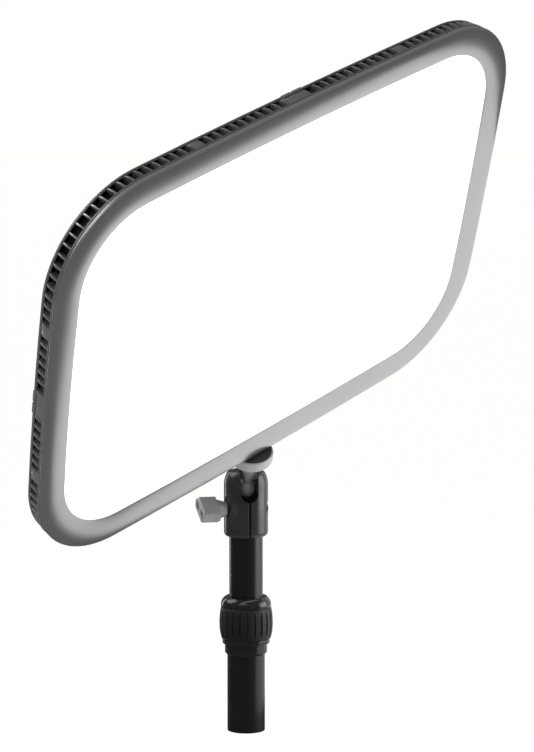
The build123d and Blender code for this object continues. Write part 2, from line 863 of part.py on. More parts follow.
with BuildPart(panel) as board_components:
    with Locations((-44.0, -24.0, board_back - 2.2), (-20.0, -38.0, board_back - 1.2)):
        Box(13.0, 11.0, 2.4)
    with Locations((-26.0, -16.0, board_back - 2.0)):
        Cylinder(5.0, 4.0)
    with Locations((-12.0, -20.0, board_back - 2.1), (-12.0, -32.0, board_back - 2.1)):
        Cylinder(3.2, 4.2)
    with Locations((4.0, -10.0, board_back - 1.8)):
        Box(14.0, 5.0, 3.6)
board_components.part.label = "board_components"
export_step(board_components.part, "parts/board_components.step")

with BuildPart(panel) as wireless_module:
    with Locations((16.0, -38.0, board_back - 1.2)):
        Box(16.0, 24.0, 2.4)
wireless_module.part.label = "wireless_module"
export_step(wireless_module.part, "parts/wireless_module.step")

with BuildPart(panel) as led_harness:
    with Locations((cable_slot[0], cable_slot[1], (plate_back + board_front) / 2)):
        Box(10.0, 0.8, plate_back - board_front)
    with Locations((cable_slot[0], cable_slot[1] - 0.4, board_front + 0.4)):
        Box(10.0, 14.0, 0.8, align=(Align.CENTER, Align.MAX, Align.CENTER))
led_harness.part.label = "led_harness"
export_step(led_harness.part, "parts/led_harness.step")

with BuildPart() as dc_inlet:
    with BuildSketch(inlet_axis.offset(-cover_wall)):
        Rectangle(9.4, 8.4)
    extrude(amount=-12.0)
    with BuildSketch(inlet_axis.offset(-cover_wall)):
        Circle(3.95)
    extrude(amount=cover_wall)
    with BuildSketch(inlet_axis):
        Circle(2.8)
    extrude(amount=-11.0, mode=Mode.SUBTRACT)
dc_inlet.part.label = "dc_inlet"
export_step(dc_inlet.part, "parts/dc_inlet.step")

with BuildPart() as inlet_pin:
    with BuildSketch(inlet_axis.offset(-11.0)):
        Circle(1.0)
    extrude(amount=9.5)
    fillet(inlet_pin.edges().sort_by(Axis(inlet_axis.origin, -stud_dir))[-1], radius=0.5)
inlet_pin.part.label = "inlet_pin"
export_step(inlet_pin.part, "parts/inlet_pin.step")

switch_front = -19.5
with BuildPart() as switch_frame:
    extrude(to_extrude=rounded_box(15.0, 21.0, 1.5, cover_back, switch_spot), amount=-0.9)
    extrude(
        to_extrude=rounded_box(12.9, 18.9, 1.0, cover_back, switch_spot),
        amount=switch_front - cover_back,
    )
    extrude(
        to_extrude=rounded_box(8.6, 15.4, 0.6, cover_back - 0.9, switch_spot),
        amount=7.0,
        mode=Mode.SUBTRACT,
    )
switch_frame.part.label = "switch_frame"
export_step(switch_frame.part, "parts/switch_frame.step")

rocker_plane = Plane(
    origin=panel.from_local_coords(Vector(switch_spot[0] + 4.0, switch_spot[1], 0)),
    x_dir=stud_dir,
    z_dir=-side_dir,
)
with BuildPart() as power_rocker:
    with BuildSketch(rocker_plane):
        with BuildLine():
            Polyline(
                (-5.6, 24.2),
                (5.6, 24.2),
                (6.2, 27.6),
                (0, 28.4),
                (-6.2, 30.4),
                close=True,
            )
        make_face()
    extrude(amount=8.0)
power_rocker.part.label = "power_rocker"
export_step(power_rocker.part, "parts/power_rocker.step")

button_length = 4.5
with BuildPart() as reset_button:
    with BuildSketch(panel.offset(cover_back - 0.8)):
        with Locations(button_spot):
            Circle(button_radius)
    extrude(amount=button_length)
reset_button.part.label = "reset_button"
export_step(reset_button.part, "parts/reset_button.step")
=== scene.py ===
import json
from math import atan2, cos, pi, radians, sin, sqrt

import bpy
from mathutils import Matrix, Vector

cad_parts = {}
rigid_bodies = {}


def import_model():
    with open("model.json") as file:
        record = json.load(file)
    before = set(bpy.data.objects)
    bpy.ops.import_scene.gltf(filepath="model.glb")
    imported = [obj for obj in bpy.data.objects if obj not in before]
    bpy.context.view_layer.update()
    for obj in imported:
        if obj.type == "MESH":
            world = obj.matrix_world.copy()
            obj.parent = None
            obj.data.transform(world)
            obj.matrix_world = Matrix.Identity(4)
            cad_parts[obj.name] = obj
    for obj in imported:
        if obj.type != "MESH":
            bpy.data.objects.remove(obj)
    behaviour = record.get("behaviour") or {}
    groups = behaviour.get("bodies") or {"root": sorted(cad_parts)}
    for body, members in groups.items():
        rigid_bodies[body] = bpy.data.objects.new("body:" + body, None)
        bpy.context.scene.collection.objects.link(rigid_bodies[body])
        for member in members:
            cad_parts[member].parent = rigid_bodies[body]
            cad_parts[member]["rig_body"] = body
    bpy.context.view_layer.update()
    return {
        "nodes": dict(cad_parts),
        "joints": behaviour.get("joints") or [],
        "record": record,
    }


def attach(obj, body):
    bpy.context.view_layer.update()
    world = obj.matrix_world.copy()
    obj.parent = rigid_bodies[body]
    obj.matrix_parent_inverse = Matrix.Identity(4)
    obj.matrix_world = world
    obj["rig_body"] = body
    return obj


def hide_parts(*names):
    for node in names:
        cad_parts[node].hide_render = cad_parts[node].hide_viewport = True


# LED panel light on a ball head and a twist-lock mast, in the CAD model's frame. The camera, the
# floor and the lights are in metres. Shapes are in millimetres, and MM turns them into metres.

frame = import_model()
joints = {joint["name"]: joint for joint in frame["joints"]}
MM = 0.001

# Directions and places taken from the frame's joints
ball = Vector(joints["ball_tilt"]["pos_m"])
up = Vector(joints["panel_turn"]["axis"]).normalized()
face = Vector(joints["button_press"]["axis"]).normalized()
side = up.cross(face).normalized()

# ---------------------------------------------------------------- camera

camera_aside = 0.0125
camera_back = 1.601
camera_rise = 0.235
camera_pitch = 84.0
camera_right = Vector((0.981, -0.193, 0.0)).normalized()
camera_forward = Vector((0.193, 0.981, 0.0)).normalized()
camera_data = bpy.data.cameras.new("camera")
camera = bpy.data.objects.new("camera", camera_data)
bpy.context.scene.collection.objects.link(camera)
camera.location = (
    ball
    + camera_right * camera_aside
    - camera_forward * camera_back
    + Vector((0.0, 0.0, camera_rise))
)
camera_heading = atan2(-camera_forward.x, camera_forward.y)
camera.rotation_euler = (radians(camera_pitch), 0.0, camera_heading)
camera_data.lens = 130.1
camera_data.sensor_width = 36.0
camera_data.clip_end = 100.0
bpy.context.scene.camera = camera

# ---------------------------------------------------------------- materials


def link(tree, start, output, end, entry):
    tree.links.new(start.outputs[output], end.inputs[entry])


def noise_node(tree, coords, scale, detail=3.0, stretch=(1.0, 1.0, 1.0)):
    """Noise texture over the piece's own coordinates, in features per metre."""
    mapping = tree.nodes.new("ShaderNodeMapping")
    mapping.inputs["Scale"].default_value = stretch
    link(tree, coords, "Object", mapping, "Vector")
    noise = tree.nodes.new("ShaderNodeTexNoise")
    noise.inputs["Scale"].default_value = scale
    noise.inputs["Detail"].default_value = detail
    link(tree, mapping, "Vector", noise, "Vector")
    return noise


def spread_node(tree, source, low, high, start=0.3, stop=0.7):
    """Maps a texture's middle range to the range low to high."""
    spread = tree.nodes.new("ShaderNodeMapRange")
    spread.inputs["From Min"].default_value = start
    spread.inputs["From Max"].default_value = stop
    spread.inputs["To Min"].default_value = low
    spread.inputs["To Max"].default_value = high
    tree.links.new(source, spread.inputs["Value"])
    return spread


def colour_mix(tree, factor, first, second):
    """Mixes two colours, each a colour or a socket, by a factor socket."""
    mix = tree.nodes.new("ShaderNodeMix")
    mix.data_type = "RGBA"
    sockets = {socket.identifier: socket for socket in mix.inputs}
    tree.links.new(factor, sockets["Factor_Float"])
    for entry, value in (("A_Color", first), ("B_Color", second)):
        if isinstance(value, bpy.types.NodeSocket):
            tree.links.new(value, sockets[entry])
        else:
            sockets[entry].default_value = list(value) + [1.0]
    return next(socket for socket in mix.outputs if socket.identifier == "Result_Color")


BEVEL_SAMPLES = 4
SMOOTHEST = 0.02
PATCH_RATIO = 2.7
WEAR_SCALE = 350.0
GLOW_COLOUR = (1.0, 0.995, 0.985, 1.0)
GLOW_LOW = 0.985
GLOW_HIGH = 1.01


def surface(
    name,
    colour,
    rough,
    metal=0.0,
    mottle=0.08,
    mottle_scale=60.0,
    rough_spread=0.06,
    grain=0.02,
    grain_scale=1800.0,
    stretch=(1.0, 1.0, 1.0),
    edge=0.25,
    wear=0.0,
    clear=0.0,
    glow=0.0,
):
    """A finish with mottled colour, uneven roughness, fine surface grain and rounded, worn edges.

    Grain and edge are in millimetres: the depth of the grain and the radius of the edges."""
    material = bpy.data.materials.new(name)
    material.use_nodes = True
    tree = material.node_tree
    shader = tree.nodes["Principled BSDF"]
    shader.inputs["Metallic"].default_value = metal
    shader.inputs["Transmission Weight"].default_value = clear
    coords = tree.nodes.new("ShaderNodeTexCoord")

    blotches = noise_node(tree, coords, mottle_scale, 4.0, stretch)
    shade = spread_node(tree, blotches.outputs["Fac"], 0.0, 1.0)
    darker = [c * (1.0 - mottle) for c in colour]
    lighter = [min(c * (1.0 + mottle), 1.0) for c in colour]
    paint = colour_mix(tree, shade.outputs["Result"], darker, lighter)

    softened = tree.nodes.new("ShaderNodeBevel")
    softened.samples = BEVEL_SAMPLES
    softened.inputs["Radius"].default_value = edge * MM
    if wear > 0.0:
        facts = tree.nodes.new("ShaderNodeNewGeometry")
        turned = tree.nodes.new("ShaderNodeVectorMath")
        turned.operation = "DOT_PRODUCT"
        link(tree, softened, "Normal", turned, 0)
        link(tree, facts, "Normal", turned, 1)
        rubbed = spread_node(tree, turned.outputs["Value"], wear, 0.0, 0.75, 0.98)
        patchy = noise_node(tree, coords, WEAR_SCALE)
        amount = tree.nodes.new("ShaderNodeMath")
        amount.operation = "MULTIPLY"
        link(tree, rubbed, "Result", amount, 0)
        link(tree, patchy, "Fac", amount, 1)
        bare = [c * 0.5 + 0.25 for c in colour]
        paint = colour_mix(tree, amount.outputs["Value"], paint, bare)
    tree.links.new(paint, shader.inputs["Base Color"])

    patches = noise_node(tree, coords, mottle_scale * PATCH_RATIO, 3.0, stretch)
    smoother = max(rough - rough_spread, SMOOTHEST)
    dull = spread_node(tree, patches.outputs["Fac"], smoother, rough + rough_spread)
    tree.links.new(dull.outputs["Result"], shader.inputs["Roughness"])

    grains = noise_node(tree, coords, grain_scale, 2.0, stretch)
    bump = tree.nodes.new("ShaderNodeBump")
    bump.inputs["Strength"].default_value = 1.0
    bump.inputs["Distance"].default_value = grain * MM
    link(tree, grains, "Fac", bump, "Height")
    link(tree, softened, "Normal", bump, "Normal")
    link(tree, bump, "Normal", shader, "Normal")

    if glow > 0.0:
        even = spread_node(tree, blotches.outputs["Fac"], glow * GLOW_LOW, glow * GLOW_HIGH)
        shader.inputs["Emission Color"].default_value = GLOW_COLOUR
        tree.links.new(even.outputs["Result"], shader.inputs["Emission Strength"])
    return material


def grey(level):
    return (level, level, level)


ALONG_MAST = (1.0, 1.0, 0.03)
finishes = {
    "mast_black": surface(
        "mast_black", grey(0.007), 0.26, mottle=0.15, rough_spread=0.05, grain=0.004,
        grain_scale=900.0, stretch=ALONG_MAST, wear=0.5,
    ),
    "black_plastic": surface(
        "black_plastic", grey(0.018), 0.42, mottle=0.12, grain=0.012, wear=0.15,
    ),
    "gloss_black_plastic": surface(
        "gloss_black_plastic", grey(0.012), 0.16, mottle=0.1, rough_spread=0.05,
        grain=0.002, grain_scale=500.0, edge=0.35, wear=0.1,
    ),
    "natural_acetal": surface("natural_acetal", (0.75, 0.73, 0.68), 0.35, grain=0.004),
    "grip_rubber": surface(
        "grip_rubber", grey(0.006), 0.6, mottle=0.2, mottle_scale=220.0, grain=0.03,
        grain_scale=2400.0, edge=0.3, wear=0.08,
    ),
    "head_black": surface(
        "head_black", grey(0.03), 0.24, mottle=0.15, rough_spread=0.06, grain=0.003,
        grain_scale=700.0, edge=0.4, wear=0.35,
    ),
    "dark_steel": surface("dark_steel", grey(0.12), 0.34, metal=1.0, grain=0.004, wear=0.3),
    "bright_steel": surface("bright_steel", grey(0.62), 0.24, metal=1.0, grain=0.003),
    "knob_grey": surface(
        "knob_grey", grey(0.38), 0.42, metal=0.2, mottle=0.1, grain=0.02,
        grain_scale=2200.0, edge=0.5, wear=0.2,
    ),
    "stud_metal": surface(
        "stud_metal", grey(0.4), 0.36, metal=0.5, mottle=0.1, rough_spread=0.05,
        grain=0.003, grain_scale=900.0, edge=0.3,
    ),
    "disc_metal": surface(
        "disc_metal", grey(0.42), 0.42, metal=0.2, mottle=0.08, grain=0.006,
        grain_scale=1200.0, edge=0.4, wear=0.2,
    ),
    "pad_rubber": surface(
        "pad_rubber", grey(0.02), 0.7, mottle=0.2, grain=0.03, grain_scale=2400.0,
    ),
    "bezel_grey": surface(
        "bezel_grey", grey(0.6), 0.29, metal=0.9, mottle=0.02, mottle_scale=30.0,
        rough_spread=0.0, grain=0.0, edge=0.05,
    ),
    "opal_diffuser": surface(
        "opal_diffuser", grey(0.9), 0.45, mottle=0.01, grain=0.01, grain_scale=2500.0,
        glow=1.6, edge=0.2,
    ),
    "clear_film": surface("clear_film", grey(0.9), 0.2, clear=0.9, grain=0.004),
    "clear_acrylic": surface("clear_acrylic", grey(0.95), 0.06, clear=0.95, grain=0.001),
    "white_sheet": surface("white_sheet", grey(0.88), 0.5, grain=0.008),
    "bare_aluminium": surface("bare_aluminium", grey(0.7), 0.36, metal=1.0, grain=0.006),
    "strip_board": surface("strip_board", grey(0.8), 0.4, grain=0.006),
    "led_phosphor": surface("led_phosphor", (0.85, 0.7, 0.15), 0.4, grain=0.006),
    "vent_black": surface(
        "vent_black", grey(0.3), 0.34, metal=0.6, mottle=0.06, rough_spread=0.05,
        grain=0.005, grain_scale=2600.0, edge=0.15, wear=0.3,
    ),
    "insert_brass": surface("insert_brass", (0.72, 0.5, 0.2), 0.3, metal=1.0, grain=0.003),
    "rear_grey": surface(
        "rear_grey", grey(0.14), 0.42, metal=0.3, mottle=0.07, grain=0.02,
        grain_scale=2000.0, edge=0.5, wear=0.2,
    ),
    "cover_black": surface(
        "cover_black", grey(0.022), 0.46, mottle=0.12, grain=0.03, grain_scale=1600.0,
        edge=0.5, wear=0.2,
    ),
    "circuit_board": surface("circuit_board", (0.02, 0.12, 0.05), 0.35, grain=0.006),
    "component_black": surface("component_black", grey(0.02), 0.4, grain=0.01),
    "harness_white": surface("harness_white", grey(0.75), 0.45, grain=0.01),
    "rocker_black": surface(
        "rocker_black", grey(0.02), 0.35, mottle=0.1, grain=0.01, edge=0.3, wear=0.1,
    ),
}
slot_of = {part["node"]: part["material_slot"] for part in frame["record"]["subparts"]}
for name, node in frame["nodes"].items():
    node.data.materials.clear()
    node.data.materials.append(finishes[slot_of[name]])

# ---------------------------------------------------------------- panel outline

half_width = 175.0
half_height = 125.0
bow = 3.0
panel_corner = 60.0
window_margin = 17.0
window_corner = 44.0
stud_depth = 6.3
ball_to_edge = 31.1
panel_origin = ball + (up * (ball_to_edge + half_height) + face * stud_depth) * MM


def panel_point(across, upward, level):
    """A point of the panel from millimetres across, upward and out of its face."""
    return panel_origin + (side * across + up * upward + face * level) * MM


def outline(margin, corner, edge_steps=28, corner_steps=20):
    """Points round the bowed, round-cornered outline, as (across, upward) in millimetres."""
    across = half_width - margin
    upward = half_height - margin
    long_radius = ((across - bow) ** 2 + bow * bow) / (2.0 * bow)
    short_radius = ((upward - bow) ** 2 + bow * bow) / (2.0 * bow)
    long_centre = Vector((0.0, upward - long_radius))
    short_centre = Vector((across - short_radius, 0.0))
    to_long = long_radius - corner
    to_short = short_radius - corner
    gap = short_centre - long_centre
    along = (to_long**2 - to_short**2 + gap.length_squared) / (2.0 * gap.length)
    off = sqrt(to_long**2 - along**2)
    unit = gap.normalized()
    options = [long_centre + unit * along + Vector((-unit.y, unit.x)) * off * s for s in (1, -1)]
    centre = max(options, key=lambda point: point.x + point.y)
    start = (centre - long_centre).normalized()
    stop = (centre - short_centre).normalized()
    start_turn = atan2(start.y, start.x)
    stop_turn = atan2(stop.y, stop.x)
    quarter = []
    for step in range(edge_steps):
        turn = pi / 2 + (start_turn - pi / 2) * step / edge_steps
        quarter.append(long_centre + Vector((cos(turn), sin(turn))) * long_radius)
    for step in range(corner_steps):
        turn = start_turn + (stop_turn - start_turn) * step / corner_steps
        quarter.append(centre + Vector((cos(turn), sin(turn))) * corner)
    for step in range(edge_steps):
        turn = stop_turn * (1.0 - step / edge_steps)
        quarter.append(short_centre + Vector((cos(turn), sin(turn))) * short_radius)
    end = Vector((across, 0.0))
    right = quarter + [end]
    lower = [Vector((p.x, -p.y)) for p in reversed(quarter)]
    right_half = right + lower
    left_half = [Vector((-p.x, p.y)) for p in reversed(right_half[1:-1])]
    return right_half + left_half


def make_piece(name, vertices, faces, body, slot, nodes, flat=False):
    """A mesh piece that rides on a body and stands for CAD nodes."""
    mesh = bpy.data.meshes.new(name)
    mesh.from_pydata(vertices, [], faces)
    mesh.validate()
    mesh.update()
    piece = bpy.data.objects.new(name, mesh)
    bpy.context.scene.collection.objects.link(piece)
    mesh.materials.append(finishes[slot])
    if not flat:
        mesh.shade_smooth()
    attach(piece, body)
    if nodes:
        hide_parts(*nodes)
    return piece


def carve(piece, operand, operation):
    """Gives a piece the mesh of its Boolean with another object."""
    cut = piece.modifiers.new("cut", "BOOLEAN")
    cut.operation = operation
    cut.object = operand
    cut.solver = "EXACT"
    bpy.context.view_layer.update()
    carved = piece.evaluated_get(bpy.context.evaluated_depsgraph_get())
    piece.data = bpy.data.meshes.new_from_object(carved)
    piece.modifiers.clear()


def rings_to_mesh(rings, closed):
    """Quads between successive closed rings of points; closed joins the last ring to the first."""
    count = len(rings[0])
    vertices = [point for ring in rings for point in ring]
    faces = []
    spans = len(rings) if closed else len(rings) - 1
    for row in range(spans):
        after = (row + 1) % len(rings)
        for index in range(count):
            following = (index + 1) % count
            faces.append(
                (
                    row * count + index,
                    after * count + index,
                    after * count + following,
                    row * count + following,
                )
            )
    return vertices, faces


# Bezel: a flat-crowned ring with a rolled outer edge and a slope down to the window
crest = 6.5
crest_rise = 1.0
outer_fall = 0.023
inner_fall = 0.013
crown_start = 1.3
crown_step = 0.5
crown_steps = 30
bezel_profile = [
    (4.0, -2.2), (0.9, -2.2), (0.35, -2.18), (0.08, -2.06), (0.0, -1.8), (0.0, -1.45),
    (0.05, -1.1), (0.2, -0.7), (0.45, -0.32), (0.8, 0.04), (1.3, 0.3),
]
for step in range(1, crown_steps + 1):
    margin = crown_start + crown_step * step
    fall = outer_fall if margin < crest else inner_fall
    bezel_profile.append((margin, crest_rise - fall * (margin - crest) ** 2))
bezel_profile += [
    (16.7, -0.37), (16.9, -0.46), (17.0, -0.65), (17.0, -1.45), (16.95, -1.56), (16.8, -1.6),
    (4.0, -1.6),
]


def bezel_ring(margin, level):
    """A ring of the bezel, with its corners tightening towards the window."""
    share = margin / window_margin
    corner = panel_corner + (window_corner - panel_corner) * share
    return [panel_point(p.x, p.y, level) for p in outline(margin, corner)]


vertices, faces = rings_to_mesh([bezel_ring(*station) for station in bezel_profile], True)
make_piece("bezel", vertices, faces, "panel", "bezel_grey", ["front_bezel"])

# ---------------------------------------------------------------- vented side frame

rib_pitch = 6.25
rib_half = 0.55
rib_edge = 0.2
rib_root = 6.3
block_half = 8.0
block_edge = 0.5
blank_half = 3.1
blank_edge = 0.4
mount_half = 16.0
lug_half = 3.5
lug_edge = 0.3
lug_profile = [(-0.7, 10.1), (-0.7, 12.0)]
lug_root = 4.1
lug_offset = 4.0
sharp_angle = radians(40.0)
sink_radius = 2.1
sink_depth = 2.4
sink_level = -5.6
sink_steps = 40
cutter_proud = 1.0
screw_reach = 30.0
mid_edges = [Vector((0.0, half_height)), Vector((-half_width, 0.0)), Vector((half_width, 0.0))]
mount_spot = Vector((0.0, -half_height))
blank_across = 79.0
blank_upward = 48.5
top_inset = 0.6
side_inset = 0.5
blank_spots = [Vector((sign * blank_across, half_height - top_inset)) for sign in (1, -1)]
blank_spots += [
    Vector((sign * (half_width - side_inset), end * blank_upward))
    for sign in (1, -1)
    for end in (1, -1)
]
edge_line = outline(0.0, panel_corner, edge_steps=60, corner_steps=60)
edge_spans = [
    (start, stop) for start, stop in zip(edge_line, edge_line[1:] + edge_line[:1])
]
edge_length = sum((stop - start).length for start, stop in edge_spans)
rib_count = 4 * round(edge_length / rib_pitch / 4)
pitch = edge_length / rib_count


def edge_place(distance):
    """The point, direction along and outward direction at a distance round the outline."""
    left = distance % edge_length
    for start, stop in edge_spans:
        span = stop - start
        if left <= span.length:
            break
        left -= span.length
    along = span.normalized()
    return start + along * left, along, Vector((-along.y, along.x))


def edge_distance(spot):
    """The distance round the outline of its point nearest to a spot."""
    run = 0.0
    nearest = None
    for start, stop in edge_spans:
        span = stop - start
        share = min(max((spot - start).dot(span) / span.length_squared, 0.0), 1.0)
        gap = (start + span * share - spot).length
        if nearest is None or gap < nearest[0]:
            nearest = (gap, run + span.length * share)
        run += span.length
    return nearest[1]


def flat_place(point):
    """A point's place across and up the panel, in millimetres."""
    offset = (point - panel_origin) / MM
    return Vector((offset.dot(side), offset.dot(up)))


screw_places = [flat_place(corner.co) for corner in frame["nodes"]["edge_screws"].data.vertices]
block_runs = []
for spot in mid_edges:
    close = [place for place in screw_places if (place - spot).length < screw_reach]
    block_runs.append(edge_distance(sum(close, Vector((0.0, 0.0))) / len(close)))
first_gap = block_runs[0]
blank_runs = [
    first_gap + pitch * round((edge_distance(spot) - first_gap) / pitch) for spot in blank_spots
]


def curve_points(first, second, third, fourth, steps):
    """Points along a cubic curve from its four control points."""
    points = []
    for step in range(steps + 1):
        t = step / steps
        weights = ((1 - t) ** 3, 3 * t * (1 - t) ** 2, 3 * t * t * (1 - t), t**3)
        controls = (first, second, third, fourth)
        points.append(tuple(sum(w * c[k] for w, c in zip(weights, controls)) for k in (0, 1)))
    return points


rib_curve = curve_points((-0.3, 3.5), (-0.3, 7.4), (-0.8, 9.6), (-2.3, 11.5), 10)


def swept_profile(run, profile, root, half, edge):
    """A profile of (outward, depth) points swept along the edge, with rounded outer corners."""
    point, along, outward = edge_place(run)
    part = edge * 0.3
    stations = [(-half, edge), (-half + part, part), (-half + edge, 0.0)]
    stations += [(half - edge, 0.0), (half - part, part), (half, edge)]
    loops = []
    for shift, inset in stations:
        loop = []
        ends = [(root, profile[-1][1]), (root, profile[0][1])]
        for reach, depth in [(out - inset, deep) for out, deep in profile] + ends:
            spot = point + along * shift + outward * reach
            loop.append(panel_point(spot.x, spot.y, -depth))
        loops.append(loop)
    return loops


def add_loops(vertices, faces, loops):
    """Adds a closed solid through successive loops of points."""
    base = len(vertices)
    size = len(loops[0])
    points, quads = rings_to_mesh(loops, False)
    vertices += points
    faces += [tuple(base + corner for corner in quad) for quad in quads]
    faces.append(tuple(base + index for index in range(size)))
    last = base + size * (len(loops) - 1)
    faces.append(tuple(last + index for index in reversed(range(size))))


def frame_ring(margin, level):
    """A ring of the side frame, parallel to the panel's outline."""
    return [panel_point(p.x, p.y, level) for p in outline(margin, panel_corner - margin)]


front_profile = [
    (2.2, -2.2), (2.2, -2.75), (1.0, -2.75), (0.5, -2.86), (0.26, -3.1), (0.22, -3.3),
    (0.28, -3.62), (0.5, -3.8), (1.5, -3.85), (1.7, -4.05), (3.9, -6.6), (4.3, -6.8),
    (6.4, -6.8), (6.4, -2.2),
]
rear_profile = [
    (2.7, -11.1), (1.75, -11.1), (1.52, -11.2), (1.44, -11.5), (1.44, -11.7), (1.52, -11.98),
    (1.75, -12.08), (6.4, -12.08), (6.4, -11.9), (2.8, -11.9),
]
# Lining: a near-black sheet over the back and inner walls of the vents' openings. It is painted
# shade for their shadowed depths.
painted_shade_profile = [(2.7, -11.85), (6.3, -11.85), (6.3, -6.85), (6.45, -6.85), (6.45, -11.95)]
vertices = []
faces = []
for profile in (front_profile, rear_profile, painted_shade_profile):
    base = len(vertices)
    points, quads = rings_to_mesh([frame_ring(*station) for station in profile], True)
    if profile is painted_shade_profile:
        painted_shade_start = len(faces)
        painted_shade_count = len(quads)
    vertices += points
    faces += [tuple(base + corner for corner in quad) for quad in quads]
for index in range(rib_count):
    run = first_gap + (index + 0.5) * pitch
    place = edge_place(run)[0]
    if min((place - spot).length for spot in mid_edges) < block_half:
        continue
    if (place - mount_spot).length < mount_half:
        continue
    add_loops(vertices, faces, swept_profile(run, rib_curve, -rib_root, rib_half, rib_edge))
for run in blank_runs:
    add_loops(vertices, faces, swept_profile(run, rib_curve, -rib_root, blank_half, blank_edge))
vents = make_piece("vents", vertices, faces, "panel", "vent_black", ["vent_frame"])
# The lining's faces take the near-black second material, as painted shade in the vents' depths
vents.data.materials.append(finishes["component_black"])
for polygon in vents.data.polygons[painted_shade_start : painted_shade_start + painted_shade_count]:
    polygon.material_index = 1
vents.data.set_sharp_from_angle(angle=sharp_angle)

# Solid blocks in the middle of three edges, each with a screw sink and two lugs
vertices = []
faces = []
for run in block_runs:
    add_loops(vertices, faces, swept_profile(run, rib_curve, -rib_root, block_half, block_edge))
blocks = make_piece("edge_blocks", vertices, faces, "panel", "vent_black", ["vent_frame"])
cut_vertices = []
cut_faces = []
for run in block_runs:
    point, along, outward = edge_place(run)
    loops = []
    for reach in (cutter_proud, -sink_depth):
        loop = []
        for step in range(sink_steps):
            turn = 2.0 * pi * step / sink_steps
            spot = point + outward * reach + along * sink_radius * cos(turn)
            loop.append(panel_point(spot.x, spot.y, sink_level + sink_radius * sin(turn)))
        loops.append(loop)
    add_loops(cut_vertices, cut_faces, loops)
cutter_mesh = bpy.data.meshes.new("sink_cutter")
cutter_mesh.from_pydata(cut_vertices, [], cut_faces)
cutter = bpy.data.objects.new("sink_cutter", cutter_mesh)
bpy.context.scene.collection.objects.link(cutter)
carve(blocks, cutter, "DIFFERENCE")
bpy.data.objects.remove(cutter)
blocks.data.set_sharp_from_angle(angle=sharp_angle)
vertices = []
faces = []
for run in block_runs:
    for shift in (lug_offset, -lug_offset):
        lug = swept_profile(run + shift, lug_profile, -lug_root, lug_half, lug_edge)
        add_loops(vertices, faces, lug)
lugs = make_piece("edge_lugs", vertices, faces, "panel", "vent_black", ["vent_frame"])
lugs.data.set_sharp_from_angle(angle=sharp_angle)

# ---------------------------------------------------------------- grip and head

# Grip: a barrel with flat staves between narrow V grooves that fade out before its ends
stave_count = 22
stave_steps = 12
grip_bottom = 56.0
grip_top = 75.0
grip_bore = 13.55
groove_depth = 1.15
groove_share = 0.16
groove_curve = 0.8
plain_end = 1.6
fade_length = 2.4
least_wall = 0.5
grip_profile = [
    (grip_bottom, grip_bore), (grip_bottom, 14.3), (56.12, 14.6), (56.5, 14.85),
    (57.3, 15.12), (58.4, 15.4), (59.8, 15.68), (61.4, 15.9), (63.2, 16.03), (65.0, 16.08),
    (66.8, 16.06), (68.6, 15.97), (70.2, 15.84), (71.6, 15.66), (72.8, 15.48), (73.7, 15.32),
    (74.4, 15.16), (74.8, 15.0), (grip_top, 14.7), (grip_top, grip_bore),
]


def grip_ring(level, radius):
    """A ring of the grip: a polygon of flat staves, notched at its corners."""
    ring = []
    into = min(level - grip_bottom, grip_top - level)
    fade = min(max((into - plain_end) / fade_length, 0.0), 1.0)
    is_outer = radius > grip_bore + least_wall
    for index in range(stave_count * stave_steps):
        turn = 2.0 * pi * index / (stave_count * stave_steps)
        share = (index % stave_steps) / stave_steps
        from_groove = min(share, 1.0 - share)
        reach = radius
        if is_outer:
            from_middle = 2.0 * pi / stave_count * (share - 0.5)
            reach *= cos(pi / stave_count) / cos(from_middle)
            notch = max(0.0, 1.0 - from_groove / groove_share)
            reach -= groove_depth * fade * notch**groove_curve
        ring.append(Vector((reach * cos(turn), reach * sin(turn), level)) * MM)
    return ring


vertices, faces = rings_to_mesh([grip_ring(*station) for station in grip_profile], True)
grip = make_piece("grip", vertices, faces, "collar", "grip_rubber", ["grip_sleeve"])

# Head: the ball housing with the upper end of its outside drawn in to a dome. An envelope cuts it,
# which clears its wall by wall_gap, its top by top_gap and all below the dome by wide_gap.
housing = frame["nodes"]["ball_housing"]
housing_radius = 13.15
dome_top = max(vertex.co.z for vertex in housing.data.vertices) / MM
dome_inset = 4.6
dome_height = 9.5
dome_steps = 14
dome_sides = 96
wall_gap = 0.02
top_gap = 0.001
wide_gap = 1.0
envelope_bottom = 100.0
head_sharp_angle = radians(32.0)
envelope_profile = []
for step in range(dome_steps, -1, -1):
    turn = pi / 2 * step / dome_steps
    radius = housing_radius + wall_gap - dome_inset * (1.0 - cos(turn))
    level = dome_top - dome_height + (dome_height + top_gap) * sin(turn)
    envelope_profile.append((radius, level))
envelope_profile += [
    (housing_radius + wide_gap, dome_top - dome_height - wide_gap),
    (housing_radius + wide_gap, envelope_bottom),
]
envelope = []
for radius, level in envelope_profile:
    turns = [2 * pi * place / dome_sides for place in range(dome_sides)]
    envelope.append([Vector((radius * cos(t), radius * sin(t), level)) * MM for t in turns])
vertices = []
faces = []
add_loops(vertices, faces, envelope)
head = make_piece("head", vertices, faces, housing["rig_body"], "head_black", [])
carve(head, housing, "INTERSECT")
head.data.set_sharp_from_angle(angle=head_sharp_angle)

